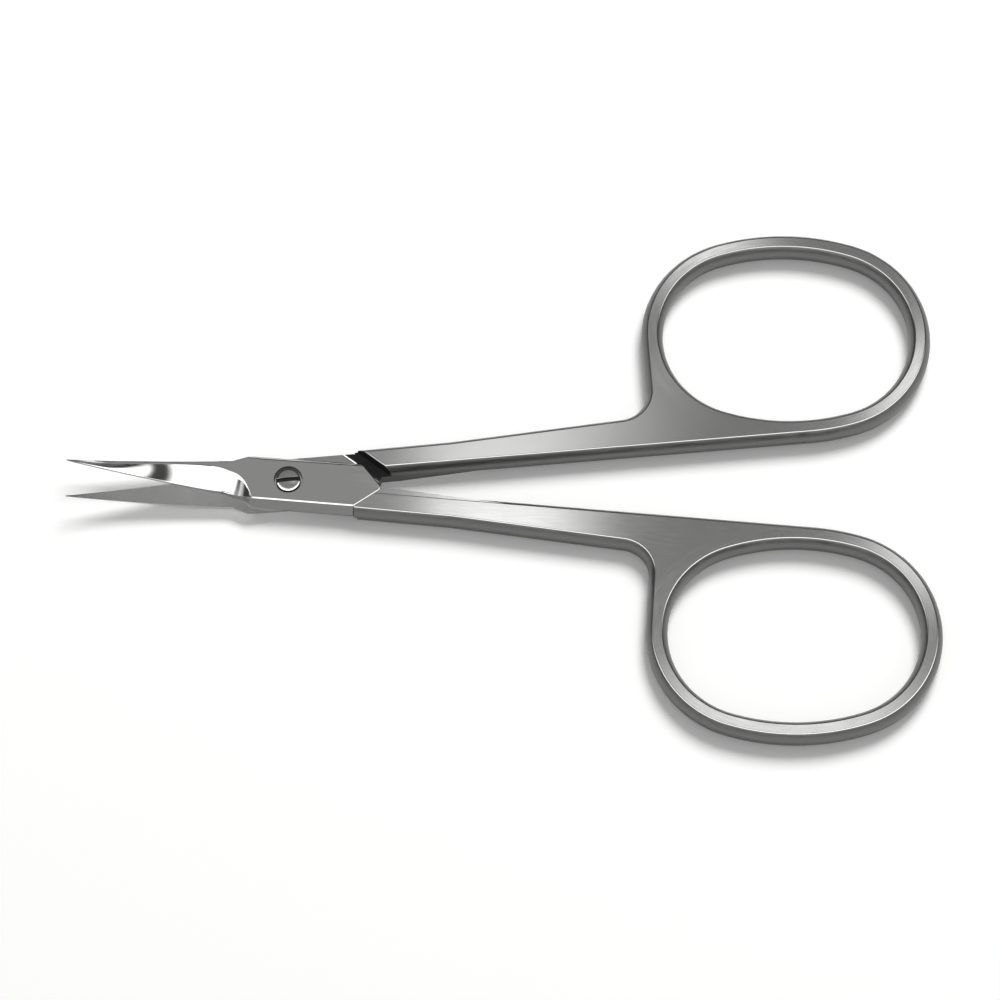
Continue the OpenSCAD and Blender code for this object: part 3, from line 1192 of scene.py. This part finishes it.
@dataclass(frozen=True)
class SatinSteel(Steel):
    """Forged stainless steel, ground on the faces and finished satin with a fine belt.

    The eye sees a cool mid grey with soft gradients. Fine marks run along the shank and round
    the ring, so lights draw out across them.
    """

    name: str = "satin_stainless"
    colour: str = "#C9C9C8"
    pale: str = "#D0D0CF"
    roughness: float = 0.08
    anisotropy: float = 0.3
    # belt marks are about 0.03 mm apart; drawn at 0.12 mm so that they show in the render
    mark_apart: float = 0.12
    mark_deep: float = 0.0003
    smooth_share: float = 0.85
    rough_share: float = 1.25
    mark_long: float = 2.4
    wave_long: float = 14.0
    wave_deep: float = 0.006

    def ring_place(self, tree: bpy.types.NodeTree, place: bpy.types.Node, ring: Ring) -> dict:
        """Place round the ring: its direction, distance from the middle, and the tangent."""
        turn = Matrix.Rotation(math.radians(-ring.tilt), 3, "Z")
        shift = turn @ Vector((-ring.middle[0], -ring.middle[1], 0.0))
        stretch = ring.hole_long / ring.hole_wide
        local = add_node(
            tree, "ShaderNodeMapping",
            {"Rotation": turn.to_euler(), "Location": shift}, {"Vector": place.outputs[0]},
        )
        oval = add_node(
            tree, "ShaderNodeVectorMath",
            {"operation": "MULTIPLY", 1: (1.0, stretch, 0.0)}, {0: local.outputs[0]},
        )
        away = add_node(
            tree, "ShaderNodeVectorMath", {"operation": "LENGTH"}, {0: oval.outputs[0]}
        )
        outward = add_node(
            tree, "ShaderNodeVectorMath", {"operation": "NORMALIZE"}, {0: oval.outputs[0]}
        )
        # the outward direction of an oval leans more to its short axis
        across = add_node(
            tree, "ShaderNodeVectorMath",
            {"operation": "MULTIPLY", 1: (1.0, stretch, 0.0)}, {0: outward.outputs[0]},
        )
        return {"away": away.outputs["Value"], "outward": outward.outputs[0],
                "across": across.outputs[0], "local": local.outputs[0]}

    def build(self, lie: Lie) -> bpy.types.Material:
        """Make the material for one half.

        Args:
            lie: How the half lies at rest.

        Returns:
            The material.
        """
        material, tree = new_material(f"{self.name}_{lie.turn.name.lower()}")
        place = lie.half_place(tree)
        ring = self.ring_place(tree, place, lie.ring)
        band = lie.ring.hole_long / 2.0 + lie.ring.band
        on_ring = add_node(
            tree, "ShaderNodeMapRange",
            {"interpolation_type": "SMOOTHSTEP", "From Min": band + 1.1, "From Max": band + 0.1},
            {"Value": ring["away"]},
        )
        fine, coarse = 1.0 / self.mark_apart, 1.0 / self.mark_long
        straight = add_node(
            tree, "ShaderNodeVectorMath",
            {"operation": "MULTIPLY", 1: (coarse, fine, fine)}, {0: place.outputs[0]},
        )
        height = add_node(tree, "ShaderNodeSeparateXYZ", None, {0: ring["local"]})
        depth = add_node(
            tree, "ShaderNodeMath", {"operation": "MULTIPLY_ADD", 1: 0.8},
            {0: height.outputs["Z"], 2: ring["away"]},
        )
        across = add_node(tree, "ShaderNodeCombineXYZ", None, {"Z": depth.outputs[0]})
        across_fine = add_node(
            tree, "ShaderNodeVectorMath",
            {"operation": "SCALE", "Scale": fine}, {0: across.outputs[0]},
        )
        round_ring = add_node(
            tree, "ShaderNodeVectorMath",
            {"operation": "MULTIPLY_ADD", 1: (band * coarse, band * coarse, 0.0)},
            {0: ring["outward"], 2: across_fine.outputs[0]},
        )
        marks = [
            add_node(
                tree, "ShaderNodeTexNoise",
                {"Scale": 1.0, "Detail": 3.0, "Roughness": 0.6}, {"Vector": source.outputs[0]},
            )
            for source in (straight, round_ring)
        ]
        grain = add_node(
            tree, "ShaderNodeMix", {"data_type": "FLOAT"},
            {0: on_ring.outputs[0], 2: marks[0].outputs["Fac"], 3: marks[1].outputs["Fac"]},
        )
        cloud = add_node(
            tree, "ShaderNodeTexNoise",
            {"Scale": 1.0 / self.wave_long, "Detail": 1.0}, {"Vector": place.outputs[0]},
        )
        waves = add_node(
            tree, "ShaderNodeBump",
            {"Strength": 1.0, "Distance": self.wave_deep * MM}, {"Height": cloud.outputs["Fac"]},
        )
        brush = add_node(
            tree, "ShaderNodeMix",
            {"data_type": "VECTOR", 4: (0.0, 1.0, 0.0)},
            {0: on_ring.outputs[0], 5: ring["across"]},
        )
        turned = add_node(
            tree, "ShaderNodeMapping",
            {"vector_type": "VECTOR", "Rotation": lie.back}, {"Vector": brush.outputs[1]},
        )
        world = add_node(
            tree, "ShaderNodeVectorTransform",
            {"vector_type": "VECTOR", "convert_from": "OBJECT", "convert_to": "WORLD"},
            {0: turned.outputs[0]},
        )
        tangent = add_node(
            tree, "ShaderNodeVectorMath", {"operation": "NORMALIZE"}, {0: world.outputs[0]}
        )
        self.finish(
            tree, grain.outputs[0], {"Normal": waves.outputs[0]}, {"Tangent": tangent.outputs[0]}
        )
        return material


@dataclass(frozen=True)
class GroundSteel(Steel):
    """Stainless steel ground or polished across the blade or round the screw.

    The hollow outside of the blade is buffed and mirrors the lights. The ride face keeps
    fine marks straight across.
    """

    colour: str = "#CFCFCE"
    pale: str = "#D6D6D5"
    roughness: float = 0.1
    anisotropy: float = 0.3
    # grit marks, drawn coarser than the real 0.02 mm so that they show in the render
    mark_apart: float = 0.08
    mark_deep: float = 0.0006
    mark_long: float = 3.0

    def build(self, lie: Lie) -> bpy.types.Material:
        """Make the material for one half, its marks running straight across the blade."""
        material, tree = new_material(f"{self.name}_{lie.turn.name.lower()}")
        place = lie.half_place(tree)
        fine = 1.0 / self.mark_apart
        streaks = add_node(
            tree, "ShaderNodeVectorMath",
            {"operation": "MULTIPLY", 1: (fine, 1.0 / self.mark_long, fine)},
            {0: place.outputs[0]},
        )
        marks = add_node(
            tree, "ShaderNodeTexNoise",
            {"Scale": 1.0, "Detail": 3.0, "Roughness": 0.6}, {"Vector": streaks.outputs[0]},
        )
        # lights draw out square to the marks
        brush = add_node(
            tree, "ShaderNodeVectorTransform",
            {"vector_type": "VECTOR", "convert_from": "OBJECT", "convert_to": "WORLD",
             "Vector": lie.back.to_matrix() @ Vector((-1.0, 0.0, 0.0))},
        )
        self.finish(tree, marks.outputs["Fac"], None, {"Tangent": brush.outputs[0]})
        return material


@dataclass(frozen=True)
class TurnedSteel(Steel):
    """Stainless steel turned on a lathe: fine rings round the axis of the screw."""

    name: str = "turned_stainless"
    colour: str = "#CDCDCC"
    pale: str = "#DADAD9"
    roughness: float = 0.16
    anisotropy: float = 0.0
    # tool marks 0.05 mm apart, as a fine finishing cut leaves them
    mark_apart: float = 0.05
    mark_deep: float = 0.0008

    def build(self) -> bpy.types.Material:
        """Make the material of the screw."""
        material, tree = new_material(self.name)
        spot = add_node(tree, "ShaderNodeTexCoord")
        place = add_node(
            tree, "ShaderNodeMapping", {"Scale": (1.0 / MM, 1.0 / MM, 1.0 / MM)},
            {"Vector": spot.outputs["Object"]},
        )
        flat = add_node(
            tree, "ShaderNodeVectorMath",
            {"operation": "MULTIPLY", 1: (1.0, 1.0, 0.0)}, {0: place.outputs[0]},
        )
        away = add_node(
            tree, "ShaderNodeVectorMath", {"operation": "LENGTH"}, {0: flat.outputs[0]}
        )
        ring = add_node(tree, "ShaderNodeCombineXYZ", None, {"X": away.outputs["Value"]})
        marks = add_node(
            tree, "ShaderNodeTexNoise",
            {"Scale": 1.0 / self.mark_apart, "Detail": 2.0}, {"Vector": ring.outputs[0]},
        )
        self.finish(tree, marks.outputs["Fac"])
        return material


def dress(piece: bpy.types.Object, materials: Sequence[bpy.types.Material]) -> None:
    """Give a piece its materials."""
    piece.data.materials.clear()
    for material in materials:
        piece.data.materials.append(material)


# The wall, slope and near black finishes below, and the slot, are darker than plain steel.
# Their dark colour is painted shade: it stands in for the shadow and the dark surroundings
# that these places mirror, and is no surface of their own. One picture can't tell whether
# that is their surface or what they mirror, so these finishes are a choice made for
# likeness.
FINISHES: dict[Finish, Callable[[Lie], bpy.types.Material]] = {
    Finish.SATIN: SatinSteel().build,
    Finish.BUFFED: GroundSteel("buffed_stainless", roughness=0.07).build,
    Finish.GROUND: GroundSteel(
        "ground_stainless", "#B4B4B3", "#C4C4C3", roughness=0.2, mark_deep=0.0004
    ).build,
    # painted shade: a dark colour for steep walls, in place of the dark surroundings they mirror
    Finish.PAINTED_WALL_SHADE: SatinSteel(
        "painted_wall_shade_stainless", "#626261", "#747473", roughness=0.34, anisotropy=0.2,
        mark_deep=0.004,
    ).build,
    Finish.BURNISHED: SatinSteel(
        "burnished_stainless", "#C6C6C5", "#CECECD", roughness=0.12, anisotropy=0.0,
        mark_deep=0.0003,
    ).build,
    # painted shade: a darker colour for the plate slopes and the strips along the blade edge and
    # land
    Finish.SLOPE: SatinSteel(
        "painted_shade_slope_stainless", "#737372", "#838382", roughness=0.24, anisotropy=0.3,
        mark_deep=0.0016,
    ).build,
    # painted shade: near black, for the lower rims, the bed and wall at the shoulder and the screw
    # seat, in place of shadow and the dark surroundings they mirror
    Finish.SCALE: SatinSteel(
        "forging_scale", "#2A2A2B", "#3A3A3B", roughness=0.5, anisotropy=0.0, mark_deep=0.003,
    ).build,
}
# painted shade of the slot and of the side of the head: a dark colour in place of their shade
SLOT_PAINTED_SHADE = SatinSteel(
    "painted_shade_slot", "#333334", "#434344", roughness=0.45, anisotropy=0.0, mark_deep=0.002
)


# ---------------------------------------------------------------- studio


@dataclass(frozen=True)
class Panel:
    """A soft light panel over the table, placed by where a flat mirror would show it.

    Places and sizes are in millimetres in the plane of the shanks. The fades are the shares of
    the panel over which it dies away, at its left, right, near and far sides.
    """

    seen: Point
    size: Point
    level: float
    fades: tuple[float, float, float, float] = (0.35, 0.35, 0.35, 0.35)


@dataclass
class Studio:
    """A pale table under soft light, with the camera of the picture."""

    elevation: float = 67.0
    distance: float = 0.44
    aim: tuple[float, float, float] = (0.02169, -0.00166, 0.0015)
    lens: float = 154.44
    key_share: float = 0.7
    key_way: tuple[float, float, float] = (0.7, 1.56, 2.5)
    key_far: float = 0.9
    key_size: float = 0.42
    dark_level: float = 0.06
    scrim_level: float = 0.19
    bright_level: float = 2.2
    left_dark: tuple[float, float] = (-1.02, -0.62)
    floor_colour: str = "#F7F7F6"
    floor_lift: float = 0.15
    tent_radius: float = 2.5
    scrim_turn: float = 30.0
    scrim_full: float = 0.93
    tent_foot: tuple[float, float] = (0.18, 0.42)
    tent_front: tuple[float, float] = (0.4, 0.1)

    def camera(self) -> None:
        """Set up the camera."""
        turn = math.radians(self.elevation)
        back = Vector((0.0, -math.cos(turn), math.sin(turn)))
        data = bpy.data.cameras.new("camera")
        data.lens = self.lens
        data.sensor_width = 36.0
        data.clip_start, data.clip_end = 0.01, 20.0
        camera = bpy.data.objects.new("camera", data)
        camera.location = Vector(self.aim) + back * self.distance
        camera.rotation_euler = (-back).to_track_quat("-Z", "Y").to_euler()
        bpy.context.scene.collection.objects.link(camera)
        bpy.context.scene.camera = camera

    def seen_by_eye(self, tree: bpy.types.NodeTree) -> bpy.types.NodeSocket:
        """Socket that is 1 where the camera, a reflection or glass looks."""
        path = add_node(tree, "ShaderNodeLightPath")
        first = add_node(
            tree, "ShaderNodeMath", {"operation": "MAXIMUM"},
            {0: path.outputs["Is Camera Ray"], 1: path.outputs["Is Glossy Ray"]},
        )
        both = add_node(
            tree, "ShaderNodeMath", {"operation": "MAXIMUM"},
            {0: first.outputs[0], 1: path.outputs["Is Transmission Ray"]},
        )
        return both.outputs[0]

    def world(self) -> None:
        """Soft light from all round, and a white background."""
        world = bpy.data.worlds.new("studio")
        bpy.context.scene.world = world
        world.use_nodes = True
        tree = world.node_tree
        tree.nodes.clear()
        level = add_node(
            tree, "ShaderNodeMapRange", {"To Min": 1.0 - self.key_share, "To Max": 1.0},
            {"Value": self.seen_by_eye(tree)},
        )
        sky = add_node(
            tree, "ShaderNodeBackground", {"Color": linear("#FFFFFF")},
            {"Strength": level.outputs[0]},
        )
        add_node(tree, "ShaderNodeOutputWorld", None, {"Surface": sky.outputs[0]})

    def floor(self) -> None:
        """A plain pale table top that keeps the shadow of the object."""
        clear_bench()
        bpy.ops.mesh.primitive_plane_add(size=6.0, location=(0.0, 0.0, -0.00002))
        floor = bpy.context.object
        floor.name = "table_top"
        material, tree = new_material("matt_white_board")
        board = add_node(
            tree, "ShaderNodeBsdfPrincipled",
            {"Base Color": linear(self.floor_colour), "Roughness": 0.9,
             "Specular IOR Level": 0.0},
        )
        lift = add_node(
            tree, "ShaderNodeMath", {"operation": "MULTIPLY", 1: self.floor_lift},
            {0: self.seen_by_eye(tree)},
        )
        glow = add_node(
            tree, "ShaderNodeEmission", {"Color": linear("#FFFFFF")}, {"Strength": lift.outputs[0]}
        )
        both = add_node(
            tree, "ShaderNodeAddShader", None, {0: board.outputs[0], 1: glow.outputs[0]}
        )
        add_node(tree, "ShaderNodeOutputMaterial", None, {"Surface": both.outputs[0]})
        floor.data.materials.append(material)

    def key_lamp(self) -> None:
        """A large soft lamp behind and to the right, which throws the shadow."""
        away = Vector(self.key_way).normalized() * self.key_far
        data = bpy.data.lights.new("key_lamp", "AREA")
        data.shape, data.size = "DISK", self.key_size
        level = self.key_share * math.pi
        data.energy = level * math.pi * away.length_squared / (away.z / away.length)
        lamp = bpy.data.objects.new("key_lamp", data)
        lamp.location = away + Vector((0.02, 0.0, 0.0))
        lamp.rotation_euler = (-away).to_track_quat("-Z", "Y").to_euler()
        lamp.visible_glossy = False
        bpy.context.scene.collection.objects.link(lamp)

    def card(self, name: str, panel: Panel, high: float) -> None:
        """Hang one panel that only shiny surfaces see.

        Args:
            name: Name of the card.
            panel: Its place, size and level.
            high: Its height over the table, in metres.
        """
        eye = Vector(self.aim) / MM
        turn = math.radians(self.elevation)
        eye += Vector((0.0, -math.cos(turn), -math.sin(turn))) * self.distance / MM
        scale = (high / MM - eye.z) / -eye.z
        place = Vector((
            eye.x + (panel.seen[0] - eye.x) * scale, eye.y + (panel.seen[1] - eye.y) * scale,
            high / MM,
        ))
        size = (panel.size[0] * scale, panel.size[1] * scale)
        self.hang(name, place, size, panel.level, panel.fades)

    def hang(
        self, name: str, place: Vector, size: Point, level: float,
        fades: tuple[float, float, float, float],
    ) -> None:
        """Hang a level card that only shiny surfaces see.

        Args:
            name: Name of the card.
            place: Its middle, in millimetres.
            size: Its width and depth, in millimetres.
            level: How bright it is.
            fades: Shares over which its left, right, near and far sides die away.
        """
        clear_bench()
        bpy.ops.mesh.primitive_plane_add(size=1.0, location=(0.0, 0.0, 0.0))
        card = bpy.context.object
        card.name = name
        card.location = place * MM
        card.scale = (size[0] * MM, size[1] * MM, 1.0)
        material, tree = new_material(name)
        spot = add_node(tree, "ShaderNodeTexCoord")
        parts = add_node(tree, "ShaderNodeSeparateXYZ", None, {0: spot.outputs["Object"]})
        share = None
        for side, fade in enumerate(fades):
            edge = -0.5 if side % 2 == 0 else 0.5
            inner = edge + fade if side % 2 == 0 else edge - fade
            part = self.ramp(tree, parts.outputs[side // 2], edge, inner).outputs[0]
            share = part if share is None else add_node(
                tree, "ShaderNodeMath", {"operation": "MULTIPLY"}, {0: share, 1: part}
            ).outputs[0]
        glow = add_node(
            tree, "ShaderNodeEmission", {"Color": linear("#FFFFFF"), "Strength": level}
        )
        clear = add_node(tree, "ShaderNodeBsdfTransparent")
        both = add_node(
            tree, "ShaderNodeMixShader", None, {0: share, 1: clear.outputs[0], 2: glow.outputs[0]}
        )
        add_node(tree, "ShaderNodeOutputMaterial", None, {"Surface": both.outputs[0]})
        card.data.materials.append(material)
        self.only_in_reflections(card)

    def only_in_reflections(self, card: bpy.types.Object) -> None:
        """Let only shiny surfaces see a card."""
        for eye in ("camera", "diffuse", "transmission", "shadow", "volume_scatter"):
            setattr(card, f"visible_{eye}", False)

    def ramp(
        self, tree: bpy.types.NodeTree, value: bpy.types.NodeSocket, low: float, high: float
    ) -> bpy.types.Node:
        """Node that goes smoothly from 0 at one value to 1 at another."""
        return add_node(
            tree, "ShaderNodeMapRange",
            {"interpolation_type": "SMOOTHSTEP", "From Min": low, "From Max": high},
            {"Value": value},
        )

    def tent(self) -> None:
        """A grey light tent round the table, darker near the table than overhead."""
        clear_bench()
        bpy.ops.mesh.primitive_uv_sphere_add(segments=64, ring_count=32, radius=self.tent_radius)
        tent = bpy.context.object
        tent.name = "light_tent"
        material, tree = new_material("light_tent_cloth")
        spot = add_node(tree, "ShaderNodeTexCoord")
        way = add_node(
            tree, "ShaderNodeVectorMath", {"operation": "NORMALIZE"}, {0: spot.outputs["Object"]}
        )
        parts = add_node(tree, "ShaderNodeSeparateXYZ", None, {0: way.outputs[0]})
        turn = math.radians(self.elevation)
        mirror = Vector((0.0, math.cos(turn), math.sin(turn)))
        near = add_node(
            tree, "ShaderNodeVectorMath", {"operation": "DOT_PRODUCT", 1: mirror},
            {0: way.outputs[0]},
        )
        scrim = self.ramp(
            tree, near.outputs["Value"], math.cos(math.radians(self.scrim_turn)), self.scrim_full
        )
        high = self.ramp(tree, parts.outputs["Z"], *self.tent_foot)
        front = self.ramp(tree, parts.outputs["Y"], *self.tent_front)
        outer = add_node(
            tree, "ShaderNodeMath", {"operation": "SUBTRACT", 0: 1.0}, {1: scrim.outputs[0]}
        )
        grey = add_node(
            tree, "ShaderNodeMath",
            {"operation": "MULTIPLY_ADD", 1: self.scrim_level, 2: self.dark_level},
            {0: scrim.outputs[0]},
        )
        left = self.ramp(tree, parts.outputs["X"], *self.left_dark)
        lit = high
        for part in (front, outer, left):
            lit = add_node(
                tree, "ShaderNodeMath", {"operation": "MULTIPLY"},
                {0: lit.outputs[0], 1: part.outputs[0]},
            )
        level = add_node(
            tree, "ShaderNodeMath", {"operation": "MULTIPLY_ADD", 1: self.bright_level},
            {0: lit.outputs[0], 2: grey.outputs[0]},
        )
        glow = add_node(
            tree, "ShaderNodeEmission", {"Color": linear("#FFFFFF")}, {"Strength": level.outputs[0]}
        )
        add_node(tree, "ShaderNodeOutputMaterial", None, {"Surface": glow.outputs[0]})
        tent.data.materials.append(material)
        self.only_in_reflections(tent)

    def build(self) -> None:
        """Set the table, the light and the camera."""
        bpy.context.scene.view_settings.view_transform = "Standard"
        self.camera()
        self.world()
        self.floor()
        self.key_lamp()
        self.tent()
        # a fit to the one picture: placed and set so that the flats mirror its tones
        panels = (
            Panel((-2.0, 0.0), (30.0, 26.0), 0.4, (0.2, 0.3, 0.2, 0.2)),
            Panel((23.5, -7.0), (21.0, 18.0), 1.9, (0.1, 0.4, 0.2, 0.3)),
            Panel((27.0, 6.0), (36.0, 14.0), 1.25, (0.2, 0.6, 0.3, 0.2)),
            Panel((43.5, 26.0), (15.0, 14.0), 1.9),
            Panel((65.0, 1.5), (13.0, 34.0), 1.9, (0.4, 0.2, 0.2, 0.2)),
            Panel((50.0, -25.0), (34.0, 14.0), 1.7, (0.3, 0.3, 0.2, 0.4)),
        )
        for k, panel in enumerate(panels):
            self.card(f"panel_{k}", panel, 1.0 + 0.01 * k)
        # a small dark flag over the blade, which its hollow mirrors as the dark band
        self.hang("dark_flag", Vector((-14.3, -16.0, 9.3)), (3.4, 28.0), 0.06,
                  (0.3, 0.35, 0.1, 0.1))


def soften(piece: bpy.types.Object, degrees: float = 32.0) -> None:
    """Shade a piece smooth across its rounded edges and keep its flats flat.

    Args:
        piece: The finished piece.
        degrees: Edges sharper than this stay creased.
    """
    take(piece)
    bpy.ops.object.shade_smooth_by_angle(angle=math.radians(degrees))
    shape(piece)

    def borders_flat(edge: bmesh.types.BMEdge) -> bool:
        """Whether exactly one of the faces at an edge is level."""
        level = [abs(face.normal.z) > 0.9998 for face in edge.link_faces]
        return any(level) and not all(level)

    pick_edges(piece, borders_flat)
    bpy.ops.mesh.mark_sharp()
    bpy.ops.object.mode_set(mode="OBJECT")
    apply_modifier(piece, "WEIGHTED_NORMAL", mode="FACE_AREA", weight=80, keep_sharp=True)


def report(piece: bpy.types.Object) -> None:
    """Log the size of a piece."""
    piece.data.calc_loop_triangles()
    loose = sum(1 for edge in piece.data.edges if edge.is_loose)
    size = [round(value / MM, 2) for value in piece.dimensions]
    LOG.info(
        "%s: %d triangles, %s mm, %d loose edges", piece.name,
        len(piece.data.loop_triangles), size, loose,
    )


def main() -> None:
    """Build the scissors in order."""
    logging.basicConfig(level=logging.INFO, format="%(name)s: %(message)s")
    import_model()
    Studio().build()
    forging = Forging()
    screw = PivotScrew(forging)
    halves = [
        ScissorHalf("rear_half", "rear", "rear_steel", Turn.UNDER, forging, screw),
        ScissorHalf("front_half", "front", "front_steel", Turn.OVER, forging, screw),
    ]
    for half in halves:
        piece = half.build()
        half.lay_down(piece)
        half.dress(piece)
        soften(piece)
        half.attach(piece)
        report(piece)
    pivot = screw.build()
    screw.set_in(pivot)
    soften(pivot)
    report(pivot)


if __name__ == "__main__":
    main()
